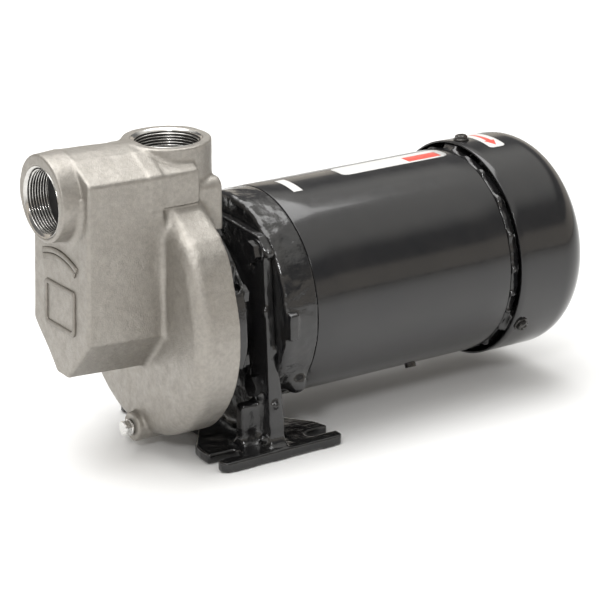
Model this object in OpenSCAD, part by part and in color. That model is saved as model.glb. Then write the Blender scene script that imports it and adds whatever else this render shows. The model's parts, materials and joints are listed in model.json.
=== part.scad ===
// Shallow well jet pump: stainless pump end close-coupled to a fan-cooled motor on a cast foot bracket.
// +X runs along the shaft from the suction port to the fan end, +Z is up, the foot rests on Z = 0.

/* [Overall] */
// height of the shaft centre above the foot's resting face
shaft_h = 105; // [100:0.5:130]
// outside radius of the motor shell
motor_r = 81; // [74:0.5:92]
// length of the rolled motor shell
shell_l = 180; // [150:1:220]
// width of each air gap between bearing seats and housings kept by the fits
fit_gap = 0.05; // [0.02:0.01:0.1]

/* [Pump casing] */
// outside radius of the round volute drum
drum_r = 91.5; // [86:0.5:105]
// depth of the drum along the shaft
drum_l = 33; // [30:0.5:44]
// half width of the inlet chest
chest_w = 40.5; // [38:0.5:48]
// length of the chest in front of the drum
chest_l = 63; // [56:0.5:80]
// height of the suction port centre above the shaft
suction_z = 101.4; // [98:0.2:112]
// height of the discharge mouth above the shaft
discharge_z = 133; // [130:0.5:150]
// wall radius of both pipe thread bores
port_r = 23.6; // [20:0.1:26]
// outside radius of both port bosses
port_boss_r = 33; // [31:0.5:38]
// length of each pipe thread bore
port_l = 20; // [16:0.5:26]
// how far the suction boss stands out of the chest
suction_out = 13.5; // [10:0.5:20]
// general casting wall
cast_wall = 5; // [4:0.25:7]

/* [Pump internals] */
// outside radius of the impeller
impeller_r = 54; // [44:0.5:56]
// radius of the threaded pump end of the shaft
stub_r = 7.94; // [6:0.1:9]
// radius of the jet opening in the ejector nozzle
nozzle_r = 2.8; // [2:0.1:4]

/* [Bracket] */
// overall length of the foot along the shaft
foot_l = 106; // [96:1:130]
// overall width of the foot
foot_w = 156; // [150:1:180]
// depth of each open slot in from the foot's end
slot_depth = 24; // [18:0.5:30]
// thickness of the foot
foot_t = 8; // [7:0.5:12]
// distance between the foot's slot centres across the pump
slot_span = 124; // [120:0.5:136]
// width of the open foot slots
slot_w = 12; // [8:0.5:13]
// radius of the adapter ring behind the drum
ring_r = 75; // [72:0.5:80]

/* [Motor] */
// depth of the cast front end bell
bell_l = 28; // [24:0.5:36]
// outside radius of the fan shroud
shroud_r = 86; // [84:0.5:98]
// length of the fan shroud
shroud_l = 73; // [64:0.5:90]
// outside radius of the fan
fan_r = 66; // [56:0.5:72]

/* [Hidden] */
$fn = 96;
eps = 0.01;

steel = [0.62, 0.61, 0.58];
bright = [0.78, 0.78, 0.78];
black = [0.06, 0.06, 0.07];
rubber = [0.12, 0.12, 0.12];
brass = [0.75, 0.62, 0.32];
copper = [0.72, 0.42, 0.22];
ceramic = [0.90, 0.89, 0.85];
white = [0.93, 0.93, 0.93];

// positions along the shaft; the motor's mounting face is X = 0
plate_t = 8;
ring_x1 = -29.5;
gasket_t = 0.8;
ring_t = 16.2;
drum_x1 = ring_x1 - ring_t - gasket_t;
drum_x0 = drum_x1 - drum_l;
chest_x0 = drum_x0 - chest_l;
suction_x = chest_x0 - suction_out;
discharge_x = drum_x0 + 28;
neck_x1 = drum_x1 + 21.5;
chest_wall = 9.5;
eye_x0 = drum_x0 - cast_wall;
eye_x1 = eye_x0 + chest_wall;
rear_wall = 12;
volute_x1 = drum_x1 - rear_wall;
volute_r = drum_r - 7.5;
open_r = 58;
relief_l = 4;
crown_z = suction_z + 1;
crown_r = port_boss_r + 1.5;
shoulder_z = crown_z + 15;
floor_z = 36;
drive_z = -29.5;
drive_r = 3.5;
neck_w = port_boss_r + 2;
neck_gap = 1.5;
passage_z0 = ring_r + 9;
neck_top = discharge_z - 26;
over_z = neck_top - 13;
round_r = 12;

casing_bolt_pcd = 132;
casing_bolt_n = 8;
casing_bolt_r = 4;
drain_z = -drum_r + 5.5;
drain_r = 5.2;
drain_out = 6.5;
drain_boss_r = 11;

// bearings: 6204 size at the front, 6203 size at the rear
f_ro = 23.5;
f_ri = 10;
f_w = 14;
f_x = 4;
r_ro = 20;
r_ri = 8.5;
r_w = 12;
shell_x0 = bell_l;
shell_x1 = shell_x0 + shell_l;
shell_ri = motor_r - 3;
r_x = shell_x1 - 2;
body_r = 12.5;
fan_shaft_r = 7.5;
core_x0 = shell_x0 + 34;
core_x1 = shell_x1 - 74;
rotor_r = 44.5;
stator_ri = 45;
slot_n = 18;
slot_r1 = 62;
slot_half = 3.2;
tie_r = 73;
tie_shank = 2.9;
tie_angle = 45;
pilot_r = 57.15;
pilot_l = 2.8;
face_bolt_r = 74.6;
face_bolt_shank = 4.76;
shroud_x0 = shell_x1 + 6;
shroud_x1 = shroud_x0 + shroud_l;
shroud_t = 1.6;
shroud_dome = 28;
screw_x = shroud_x0 + 10;
screw_angles = [5, -121, 125];
box_x = 110;
box_w = 60;
box_h = 50;
box_y1 = motor_r + 32;
label_t = 0.25;

module along_x(x0) {
    translate([x0, 0, shaft_h])
        rotate([0, 90, 0])
            children();
}

module rod_x(x0, x1, r) {
    along_x(x0)
        cylinder(h = x1 - x0, r = r);
}

module tube_x(x0, x1, ro, ri) {
    difference() {
        rod_x(x0, x1, ro);
        rod_x(x0 - 1, x1 + 1, ri);
    }
}

// extrudes a Y, Z outline measured from the shaft centre along X
module prism_x(x0, x1) {
    translate([x0, 0, shaft_h])
        rotate([90, 0, 90])
            linear_extrude(x1 - x0)
                children();
}

// children stand radially outward at angle a from straight up, positive towards +Y
module radial(x, a) {
    translate([x, 0, shaft_h])
        rotate([-a, 0, 0])
            children();
}

function chest_outline(inset) = [
    [-chest_w + inset, shoulder_z - 2 - inset],
    [-chest_w + inset, 0],
    [-9 + inset / 3, -floor_z + inset],
    [9 - inset / 3, -floor_z + inset],
    [chest_w - inset, 0],
    [chest_w - inset, shoulder_z - 2 - inset],
    [chest_w - 3 - inset, shoulder_z - inset],
    [-chest_w + 3 + inset, shoulder_z - inset]
];

module chest_section(inset) {
    polygon(chest_outline(inset));
    translate([0, crown_z])
        circle(r = crown_r - inset);
}

module rounded_plate(w, h, r) {
    hull_w = w / 2 - r;
    hull_h = h / 2 - r;
    square([w - 2 * r, h], center = true);
    square([w, h - 2 * r], center = true);
    for (sx = [-1, 1])
        for (sy = [-1, 1])
            translate([sx * hull_w, sy * hull_h])
                circle(r = r, $fn = 32);
}

// drum with a rounded front edge
module drum_body() {
    along_x(drum_x0)
        rotate_extrude()
            union() {
                square([drum_r - round_r, drum_l]);
                translate([0, round_r])
                    square([drum_r, drum_l - round_r]);
                translate([drum_r - round_r, round_r])
                    circle(r = round_r);
            }
}

// solid body of the neck under the discharge boss
module neck_section() {
    translate([-neck_w, 40])
        square([2 * neck_w, neck_top - 40 - 8]);
    translate([-neck_w + 8, 40])
        square([2 * neck_w - 16, neck_top - 40]);
    for (s = [-1, 1])
        translate([s * (neck_w - 8), neck_top - 8])
            circle(r = 8);
}

module casing_solid() {
    drum_body();
    prism_x(chest_x0, drum_x0 - 3)
        chest_section(0);
    prism_x(drum_x0 - 4, drum_x0 + 6)
        polygon(chest_outline(0));
    // the top of the chest runs back over the drum
    intersection() {
        prism_x(drum_x0 - 4, drum_x1 - 1.5)
            polygon(chest_outline(0));
        translate([drum_x0 - 5, -chest_w - 1, shaft_h + over_z])
            cube([drum_l + 5, 2 * chest_w + 2, 60]);
    }
    prism_x(drum_x0, drum_x1)
        neck_section();
    // the neck overhangs the adapter ring and follows its curve
    difference() {
        prism_x(drum_x1 - 4, neck_x1)
            neck_section();
        rod_x(drum_x1, neck_x1 + 1, ring_r + neck_gap);
    }
    prism_x(drum_x0 - 5, discharge_x)
        translate([0, crown_z - 3])
            circle(r = crown_r - 3);
    translate([discharge_x, 0, shaft_h + neck_top - 20])
        cylinder(h = discharge_z - neck_top + 20, r = port_boss_r);
    translate([suction_x, 0, shaft_h + suction_z + 2.5])
        rotate([0, 90, 0])
            cylinder(h = suction_out + 2, r = port_boss_r - 1);
    translate([drum_x0 - drain_out, 0, shaft_h + drain_z])
        rotate([0, 90, 0])
            cylinder(h = drain_out + 24, r = drain_boss_r);
    // raised border of the blank nameplate panel
    prism_x(chest_x0 - 1.6, chest_x0 + 1)
        translate([0, 20])
            difference() {
                rounded_plate(46, 36, 5);
                rounded_plate(38, 28, 3);
            }
    // raised crescent pad under the suction port
    prism_x(chest_x0 - 1.2, chest_x0 + 1)
        intersection() {
            translate([0, suction_z])
                difference() {
                    circle(r = 52);
                    circle(r = 41);
                }
            translate([-28, 40])
                square([56, 40]);
        }
}

module casing_cavity() {
    // suction chest and its port
    prism_x(chest_x0 + cast_wall, eye_x0)
        chest_section(cast_wall);
    translate([suction_x - 1, 0, shaft_h + suction_z])
        rotate([0, 90, 0])
            cylinder(h = suction_out + cast_wall + 2, r = port_r);
    translate([suction_x - eps, 0, shaft_h + suction_z])
        rotate([0, 90, 0])
            cylinder(h = 2.5, r1 = port_r + 2.5, r2 = port_r);
    // volute and the rear opening
    rod_x(eye_x1, volute_x1, volute_r);
    rod_x(volute_x1 - 1, drum_x1 + 1, open_r);
    // discharge bore and passage
    translate([discharge_x, 0, shaft_h + discharge_z - port_l])
        cylinder(h = port_l + 1, r = port_r);
    translate([discharge_x, 0, shaft_h + discharge_z - 2.5])
        cylinder(h = 2.5 + eps, r1 = port_r, r2 = port_r + 2.5);
    translate([discharge_x, 0, shaft_h + discharge_z - port_l - relief_l])
        cylinder(h = relief_l + eps, r = port_r + 0.8);
    translate([discharge_x, 0, shaft_h + passage_z0])
        cylinder(h = discharge_z - passage_z0 - port_l + 1, r = port_r - 1.6);
    translate([eye_x1 + 1.5, -20, shaft_h + 66])
        cube([volute_x1 - eye_x1 - 1.5, 40, 30]);
    // eye and the wear ring recess
    rod_x(eye_x0 - 1, eye_x1 + 1, 20);
    rod_x(eye_x1 - 3, eye_x1 + 1, 25);
    // drain
    translate([drum_x0 - drain_out - 1, 0, shaft_h + drain_z])
        rotate([0, 90, 0])
            cylinder(h = drain_out + 12, r = drain_r);
    // tapped holes for the casing bolts
    for (k = [0 : casing_bolt_n - 1])
        radial(drum_x1, 22.5 + k * 360 / casing_bolt_n)
            translate([-10, 0, casing_bolt_pcd / 2])
                rotate([0, 90, 0])
                    cylinder(h = 11, r = casing_bolt_r, $fn = 32);
}

// cast rib that carries drive water from the volute forward to the nozzle
module drive_rib() {
    intersection() {
        prism_x(chest_x0 + 1, eye_x0 + 1)
            polygon(chest_outline(1));
        union() {
            translate([chest_x0 + 1, -13, shaft_h - floor_z])
                cube([18, 26, floor_z + 14]);
            translate([chest_x0 + 1, -11, shaft_h - floor_z])
                cube([chest_l, 22, floor_z + drive_z + drive_r + 2.5]);
        }
    }
}

module casing() {
    color(steel)
        difference() {
            union() {
                difference() {
                    casing_solid();
                    casing_cavity();
                }
                drive_rib();
                flap_lugs();
            }
            // drive water passage and the nozzle's threaded hole
            translate([chest_x0 + 11, 0, shaft_h + drive_z])
                rotate([0, 90, 0])
                    cylinder(h = eye_x1 - chest_x0, r = drive_r);
            translate([chest_x0 + 11, 0, shaft_h + drive_z])
                cylinder(h = -drive_z, r = drive_r);
            rod_x(chest_x0 + 7, chest_x0 + 30, 8);
            // hinge pin bores
            translate([flap_x, -20, shaft_h + flap_z])
                rotate([-90, 0, 0])
                    cylinder(h = 40, r = 2, $fn = 48);
        }
}

flap_x = chest_x0 + cast_wall + 6.5;
flap_z = suction_z + port_r + 1.9;

// two ears that carry the flap's hinge pin
module flap_lugs() {
    for (s = [-1, 1])
        translate([chest_x0 + cast_wall - 1, s * 12 - 2, shaft_h + flap_z - 3])
            cube([11, 4, 6.5]);
}

module suction_flap() {
    color(rubber)
        difference() {
            union() {
                translate([chest_x0 + cast_wall + 0.3, 0, shaft_h + suction_z])
                    rotate([0, 90, 0])
                        cylinder(h = 4, r = port_r + 0.6);
                translate([chest_x0 + cast_wall + 4.2, 0, shaft_h + suction_z - 2])
                    rotate([0, 90, 0])
                        cylinder(h = 3, r = 14);
                translate([chest_x0 + cast_wall + 2, -8, shaft_h + suction_z + 12])
                    cube([4.5, 16, flap_z - suction_z - 12]);
                translate([flap_x, -8, shaft_h + flap_z])
                    rotate([-90, 0, 0])
                        cylinder(h = 16, r = 3.4, $fn = 48);
            }
            translate([flap_x, -12, shaft_h + flap_z])
                rotate([-90, 0, 0])
                    cylinder(h = 24, r = 2 + fit_gap, $fn = 48);
        }
}

module flap_hinge_pin() {
    color(bright)
        translate([flap_x, -14, shaft_h + flap_z])
            rotate([-90, 0, 0])
                cylinder(h = 28, r = 2, $fn = 48);
}

module ejector_nozzle() {
    color(brass)
        difference() {
            union() {
                rod_x(chest_x0 + 11, chest_x0 + 19, 8);
                along_x(chest_x0 + 19)
                    cylinder(h = 6, r = 12, $fn = 6);
                along_x(chest_x0 + 25)
                    cylinder(h = 12, r1 = 9, r2 = nozzle_r + 1.6);
            }
            along_x(chest_x0 + 10)
                cylinder(h = 24, r1 = 6, r2 = nozzle_r);
            rod_x(chest_x0 + 30, chest_x0 + 40, nozzle_r);
        }
}

module ejector_venturi() {
    color(brass)
        along_x(eye_x0)
            rotate_extrude()
                polygon([[10.5, -20], [13.5, -20], [13.5, -3], [22.5, -3], [22.5, 0], [20, 0],
                    [20, 6.4], [16.5, 6.4], [5.2, -9], [5.2, -13]]);
}

module wear_ring() {
    color(brass)
        tube_x(eye_x1 - 3, eye_x1 + 3.6, 25, 20.4);
}

imp_x0 = eye_x1 + 4;
imp_x1 = volute_x1 - 1;

// one curved vane as a crescent between two circles
module vane() {
    intersection() {
        difference() {
            circle(r = impeller_r - 1);
            circle(r = 17.5);
        }
        translate([0, impeller_r * 0.53])
            difference() {
                circle(r = impeller_r * 0.56);
                circle(r = impeller_r * 0.56 - 2.4);
            }
        translate([0, -impeller_r])
            square([impeller_r, 2 * impeller_r]);
    }
}

module impeller() {
    color(steel)
        difference() {
            union() {
                along_x(imp_x0)
                    cylinder(h = 2.2, r = impeller_r);
                rod_x(imp_x0 - 3.2, imp_x0 + 2, 20.05);
                along_x(imp_x1 - 2.6)
                    cylinder(h = 2.6, r = impeller_r);
                along_x(imp_x0 + 2.1)
                    for (k = [0 : 5])
                        rotate(k * 60)
                            linear_extrude(imp_x1 - imp_x0 - 4.6)
                                vane();
                rod_x(imp_x0 + 2, imp_x1 - 2, 13);
            }
            rod_x(imp_x0 - 5, imp_x0 + 2.4, 17.2);
            rod_x(imp_x0 + 1, imp_x1 + 1, stub_r);
        }
}

seat_x = ring_x1 - 12.5;

module seal_spring() {
    color(bright)
        along_x(imp_x1 + 0.02)
            rotate_extrude()
                for (k = [0 : 3])
                    translate([11, 1.2 + k * 1.9])
                        circle(r = 1.2, $fn = 32);
}

module seal_head() {
    color(rubber)
        union() {
            tube_x(imp_x1 + 8.16, seat_x, 13.5, stub_r);
        }
}

module seal_seat() {
    color(ceramic)
        tube_x(seat_x, seat_x + 6, 14.5, stub_r + 1);
}

module seal_cup() {
    color(rubber)
        difference() {
            rod_x(seat_x + 0.5, seat_x + 8, 18);
            rod_x(seat_x, seat_x + 6, 14.5);
            rod_x(seat_x, seat_x + 9, stub_r + 1.2);
        }
}

module casing_gasket() {
    color(rubber)
        difference() {
            tube_x(drum_x1, drum_x1 + gasket_t, ring_r, open_r + 0.5);
            for (k = [0 : casing_bolt_n - 1])
                radial(drum_x1, 22.5 + k * 360 / casing_bolt_n)
                    translate([-1, 0, casing_bolt_pcd / 2])
                        rotate([0, 90, 0])
                            cylinder(h = 5, r = casing_bolt_r + 0.4, $fn = 32);
        }
}

module drain_plug() {
    color(bright)
        union() {
            translate([drum_x0 - drain_out, 0, shaft_h + drain_z])
                rotate([0, 90, 0])
                    cylinder(h = 11, r = drain_r);
            translate([drum_x0 - drain_out - 2, 0, shaft_h + drain_z])
                rotate([0, 90, 0])
                    cylinder(h = 2, r = 6.8);
            translate([drum_x0 - drain_out - 8, 0, shaft_h + drain_z])
                rotate([0, 90, 0])
                    cylinder(h = 6.5, r = 6.6, $fn = 6);
        }
}

module hex_bolt(shank_r, shank_l, head_r, head_h) {
    rotate([0, 90, 0])
        cylinder(h = shank_l, r = shank_r, $fn = 32);
    translate([-head_h, 0, 0])
        rotate([0, 90, 0])
            cylinder(h = head_h, r = head_r, $fn = 6);
    translate([-1.2, 0, 0])
        rotate([0, 90, 0])
            cylinder(h = 1.2, r = head_r + 0.8, $fn = 32);
}

module casing_bolts() {
    color(bright)
        for (k = [0 : casing_bolt_n - 1])
            radial(ring_x1, 22.5 + k * 360 / casing_bolt_n)
                translate([0, 0, casing_bolt_pcd / 2])
                    rotate([0, 0, 180])
                        hex_bolt(casing_bolt_r, ring_t + gasket_t + 9, 7.2, 5.4);
}

// outline of one half of the foot seen from above, toward -Y
module foot_half() {
    half = foot_l / 2;
    edge = foot_w / 2;
    difference() {
        polygon([[-30, 0], [-30, -5], [-half + 2, -edge + 44], [-half, -edge + 34], [-half, -edge + 4],
            [-half + 4, -edge], [half - 3, -edge], [half, -edge + 3], [half, -edge + 22],
            [half - 4, -edge + 34], [half - 18, -edge + 56], [28, 0]]);
        for (s = [-1, 1])
            translate([s * (half - slot_depth + slot_w / 2), -slot_span / 2]) {
                translate([s * 15, 0])
                    square([30, slot_w], center = true);
                circle(r = slot_w / 2);
            }
    }
}

// upright plate between the pump ring and the motor face
module plate_section() {
    difference() {
        union() {
            polygon([[-72, -shaft_h + foot_t - 0.5], [-61, 57], [-54, 64], [-8, 67], [8, 67], [54, 64],
                [61, 57], [72, -shaft_h + foot_t - 0.5]]);
        }
        circle(r = 30);
        for (a = [45 : 90 : 315])
            rotate(a)
                translate([face_bolt_r, 0])
                    circle(r = face_bolt_shank + 0.3, $fn = 48);
    }
}

module bracket() {
    color(black)
        difference() {
            union() {
                // register ring and the spigot that closes the volute
                rod_x(drum_x1 + gasket_t, ring_x1, ring_r);
                rod_x(volute_x1 + 1, drum_x1 + gasket_t + 1, open_r - 0.1);
                tube_x(ring_x1 - 1, -plate_t + 1, 42, 30);
                prism_x(-plate_t, 0)
                    plate_section();
                // gussets under the plate beside the neck
                for (s = [-1, 1])
                    translate([-24, s * 52 - 5, foot_t - 1])
                        cube([18, 10, 32]);
                // thick root of the plate on the foot
                translate([-plate_t, -71, foot_t - 1])
                    cube([plate_t + 4.6, 142, 14]);
                linear_extrude(foot_t)
                    foot_half();
                mirror([0, 1, 0])
                    linear_extrude(foot_t)
                        foot_half();
            }
            // seal chamber, seat bore, shaft hole, slinger space
            rod_x(volute_x1, seat_x + 0.5, 22);
            rod_x(seat_x, seat_x + 8, 18);
            rod_x(seat_x + 7, ring_x1 + 1, 10.5);
            rod_x(ring_x1 - 2, -1, 30);
            // rabbet for the motor's pilot
            rod_x(-pilot_l - 0.2, 1, pilot_r + fit_gap);
            // drip opening under the slinger
            translate([-26, -9, shaft_h - 50])
                cube([14, 18, 30]);
            // clearance holes for the casing bolts
            for (k = [0 : casing_bolt_n - 1])
                radial(ring_x1, 22.5 + k * 360 / casing_bolt_n)
                    translate([-ring_t - 5, 0, casing_bolt_pcd / 2])
                        rotate([0, 90, 0])
                            cylinder(h = ring_t + 6, r = casing_bolt_r + 0.4, $fn = 32);
        }
}

module motor_bolts() {
    color(bright)
        for (a = [45 : 90 : 315])
            radial(-plate_t, a)
                translate([0, 0, face_bolt_r])
                    hex_bolt(face_bolt_shank, plate_t + 14, 8.2, 6.4);
}

module slinger() {
    color(rubber)
        difference() {
            union() {
                rod_x(-20, -17.5, 24);
                rod_x(-20, -13, 12);
            }
            rod_x(-21, -12, stub_r);
        }
}

module shaft() {
    color(bright)
        union() {
            rod_x(imp_x0 + 2.4, 0, stub_r);
            rod_x(-1, f_x + f_w, f_ri);
            rod_x(f_x + f_w, r_x, body_r);
            rod_x(r_x - 1, r_x + r_w, r_ri);
            rod_x(r_x + r_w - 1, fan_x0 + 16, fan_shaft_r);
        }
}

module rotor_core() {
    color([0.45, 0.45, 0.47])
        difference() {
            union() {
                rod_x(core_x0 + 2, core_x1 - 2, rotor_r);
                rod_x(core_x0 - 5, core_x1 + 5, rotor_r - 5);
            }
            rod_x(core_x0 - 7, core_x1 + 7, body_r);
            for (s = [0, 1])
                along_x(s == 0 ? core_x0 - 6 : core_x1 + 0.5)
                    cylinder(h = 5.5, r = rotor_r - 16);
        }
}

module slot_cuts(grow) {
    for (k = [0 : slot_n - 1])
        rotate(k * 360 / slot_n)
            translate([stator_ri - 2, -slot_half - grow])
                square([slot_r1 - stator_ri + 2 + grow, 2 * (slot_half + grow)]);
}

module stator_core() {
    color([0.40, 0.40, 0.42])
        prism_x(core_x0, core_x1)
            difference() {
                circle(r = shell_ri);
                circle(r = stator_ri);
                slot_cuts(0);
                for (k = [0 : 3])
                    rotate(tie_angle + k * 90)
                        translate([tie_r, 0])
                            circle(r = tie_shank + 0.5, $fn = 32);
            }
}

module stator_windings() {
    color(copper)
        union() {
            for (x = [core_x0 - 16, core_x1 + 0.4])
                along_x(x)
                    rotate_extrude()
                        translate([stator_ri + 4, 0])
                            square([slot_r1 - stator_ri - 4, 15.6]);
            prism_x(core_x0 - 1, core_x1 + 1)
                intersection() {
                    slot_cuts(-0.3);
                    difference() {
                        circle(r = slot_r1 - 0.4);
                        circle(r = stator_ri + 2);
                    }
                }
        }
}

module front_bell() {
    color(black)
        difference() {
            union() {
                along_x(0)
                    rotate_extrude()
                        polygon([[11.5, 0], [motor_r - 7, 0], [motor_r, 4.5], [motor_r, bell_l],
                            [shell_ri - fit_gap, bell_l], [shell_ri - fit_gap, bell_l + 7], [shell_ri - 4, bell_l + 7],
                            [shell_ri - 6, 8], [34, 8], [31, 20], [f_ro, 20], [f_ro, f_x], [11.5, f_x]]);
                tube_x(-pilot_l, 1, pilot_r, 44);
                // tapped bosses for the face bolts and the tie bolts
                for (k = [0 : 3])
                    radial(0, 45 + k * 90)
                        translate([6, 0, face_bolt_r - 6])
                            rotate([0, 90, 0])
                                cylinder(h = 18, r = 9.5, $fn = 48);
                // small cast pad on the near side
                translate([1.5, -motor_r - 2.4, shaft_h - 10])
                    cube([9, 6, 19]);
            }
            for (k = [0 : 3])
                radial(0, 45 + k * 90) {
                    translate([-1, 0, face_bolt_r])
                        rotate([0, 90, 0])
                            cylinder(h = 16, r = face_bolt_shank, $fn = 48);
                    translate([17, 0, tie_r])
                        rotate([0, 90, 0])
                            cylinder(h = 30, r = tie_shank, $fn = 32);
                }
        }
}

module front_shaft_seal() {
    color(rubber)
        tube_x(0.4, f_x - 0.4, 11.5, f_ri + fit_gap);
}

module motor_shell() {
    color(black)
        difference() {
            tube_x(shell_x0, shell_x1, motor_r, shell_ri);
            // lead opening into the conduit box
            radial(box_x, 90)
                translate([0, 0, shell_ri - 6])
                    cylinder(h = 20, r = 11);
            radial(plug_x, plug_a)
                translate([0, 0, shell_ri - 6])
                    cylinder(h = 20, r = 3 + fit_gap, $fn = 32);
        }
}

plug_x = 148;
plug_a = -157;

module shell_plug() {
    color(bright)
        radial(plug_x, plug_a) {
            translate([0, 0, shell_ri - 4])
                cylinder(h = 8, r = 3, $fn = 32);
            translate([0, 0, motor_r + 0.02])
                cylinder(h = 3.2, r = 4.4, $fn = 48);
        }
}

module rear_bell() {
    color(black)
        difference() {
            union() {
                along_x(shell_x1)
                    rotate_extrude()
                        polygon([[9.5, 12.4], [r_ro, 12.4], [r_ro, -4], [28, -4], [31, 2], [shell_ri - 7, 2],
                            [shell_ri - 4, -7], [shell_ri - fit_gap, -7], [shell_ri - fit_gap, 0], [motor_r, 0],
                            [motor_r, 5], [motor_r - 2, 8], [62, 8], [50, 15], [9.5, 17]]);
                // lugs that carry the shroud screws
                for (a = screw_angles)
                    radial(screw_x, a)
                        translate([-10, -8, motor_r - 14])
                            cube([15.5, 16, shroud_r - shroud_t - motor_r + 13.4]);
                // short cooling castellations on the rim
                for (k = [0 : 11])
                    radial(shell_x1 + 1, 35 + k * 30)
                        translate([0, -5, motor_r - 3])
                            cube([3.2, 10, 5.2]);
            }
            for (k = [0 : 3])
                radial(0, 45 + k * 90)
                    translate([shell_x1 - 8, 0, tie_r])
                        rotate([0, 90, 0])
                            cylinder(h = 40, r = tie_shank + 0.3, $fn = 32);
            for (a = screw_angles)
                radial(screw_x, a)
                    translate([0, 0, motor_r - 6])
                        cylinder(h = 20, r = 2.4, $fn = 32);
        }
}

module ball_race_outer(x, ro, ri, w) {
    pitch = (ro + ri) / 2;
    ball = (ro - ri) * 0.29;
    along_x(x)
        rotate_extrude()
            difference() {
                translate([pitch + ball * 0.55, 0])
                    square([ro - pitch - ball * 0.55, w]);
                translate([pitch, w / 2])
                    circle(r = ball + 0.02, $fn = 64);
            }
}

module ball_race_inner(x, ro, ri, w) {
    pitch = (ro + ri) / 2;
    ball = (ro - ri) * 0.29;
    along_x(x)
        rotate_extrude()
            difference() {
                translate([ri, 0])
                    square([pitch - ri - ball * 0.55, w]);
                translate([pitch, w / 2])
                    circle(r = ball + 0.02, $fn = 64);
            }
}

module ball_set(x, ro, ri, w, n) {
    pitch = (ro + ri) / 2;
    ball = (ro - ri) * 0.29;
    for (k = [0 : n - 1])
        radial(x + w / 2, k * 360 / n)
            translate([0, 0, pitch])
                sphere(r = ball, $fn = 48);
}

module ball_cage(x, ro, ri, w, n) {
    pitch = (ro + ri) / 2;
    ball = (ro - ri) * 0.29;
    difference() {
        tube_x(x + w / 2 - ball - 1, x + w / 2 + ball + 1, pitch + 0.9, pitch - 0.9);
        for (k = [0 : n - 1])
            radial(x + w / 2, k * 360 / n)
                translate([0, 0, pitch - 5])
                    cylinder(h = 10, r = ball + 0.15, $fn = 48);
    }
}

module front_outer_race() {
    color(bright)
        ball_race_outer(f_x, f_ro, f_ri, f_w);
}

module front_inner_race() {
    color(bright)
        ball_race_inner(f_x, f_ro, f_ri, f_w);
}

module front_balls() {
    color(bright)
        ball_set(f_x, f_ro, f_ri, f_w, 8);
}

module front_cage() {
    color(brass)
        ball_cage(f_x, f_ro, f_ri, f_w, 8);
}

module rear_outer_race() {
    color(bright)
        ball_race_outer(r_x, r_ro, r_ri, r_w);
}

module rear_inner_race() {
    color(bright)
        ball_race_inner(r_x, r_ro, r_ri, r_w);
}

module rear_balls() {
    color(bright)
        ball_set(r_x, r_ro, r_ri, r_w, 7);
}

module rear_cage() {
    color(brass)
        ball_cage(r_x, r_ro, r_ri, r_w, 7);
}

module wave_washer() {
    color(bright)
        tube_x(r_x + r_w, shell_x1 + 12.4, r_ro - 0.4, 14.5);
}

module through_bolts() {
    color(bright)
        for (k = [0 : 3])
            radial(0, 45 + k * 90)
                translate([0, 0, tie_r]) {
                    translate([18, 0, 0])
                        rotate([0, 90, 0])
                            cylinder(h = shell_x1 - 8, r = tie_shank, $fn = 32);
                    translate([shell_x1 + 8, 0, 0])
                        rotate([0, 90, 0])
                            cylinder(h = 4, r = 5, $fn = 6);
                }
}

fan_x0 = shell_x1 + 22;

module fan() {
    color([0.10, 0.10, 0.11])
        difference() {
            union() {
                rod_x(fan_x0, fan_x0 + 3, fan_r);
                rod_x(fan_x0, fan_x0 + 20, 15);
                for (k = [0 : 7])
                    radial(fan_x0 + 2, k * 45)
                        translate([0, -1.5, 13])
                            cube([20, 3, fan_r - 15]);
            }
            rod_x(fan_x0 - 1, fan_x0 + 21, fan_shaft_r);
        }
}

module fan_shroud() {
    color(black)
        difference() {
            along_x(shroud_x0)
                rotate_extrude()
                    difference() {
                        union() {
                            square([shroud_r, shroud_l - shroud_dome]);
                            square([shroud_r - shroud_dome, shroud_l]);
                            translate([shroud_r - shroud_dome, shroud_l - shroud_dome])
                                intersection() {
                                    circle(r = shroud_dome);
                                    square(shroud_dome);
                                }
                        }
                        translate([-1, -1]) {
                            square([shroud_r - shroud_t + 1, shroud_l - shroud_dome + 1]);
                            square([shroud_r - shroud_dome + 1, shroud_l - shroud_t + 1]);
                        }
                        translate([shroud_r - shroud_dome, shroud_l - shroud_dome])
                            circle(r = shroud_dome - shroud_t);
                    }
            // air inlet slots in the rear face
            for (k = [0 : 15])
                radial(shroud_x1, k * 22.5)
                    translate([-6, -2.5, 14])
                        cube([12, 5, 36]);
            for (a = screw_angles)
                radial(screw_x, a)
                    translate([0, 0, shroud_r - 8])
                        cylinder(h = 12, r = 2.4, $fn = 32);
        }
}

module shroud_screws() {
    color(bright)
        for (a = screw_angles)
            radial(screw_x, a)
                union() {
                    translate([0, 0, motor_r - 5])
                        cylinder(h = shroud_r - motor_r + 5, r = 2.4, $fn = 32);
                    translate([0, 0, shroud_r + 0.02])
                        cylinder(h = 1.4, r = 6.2, $fn = 48);
                    difference() {
                        translate([0, 0, shroud_r + 1])
                            cylinder(h = 3.4, r = 4.4, $fn = 6);
                        translate([-5, -0.6, shroud_r + 3])
                            cube([10, 1.2, 2]);
                    }
                }
}

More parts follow.
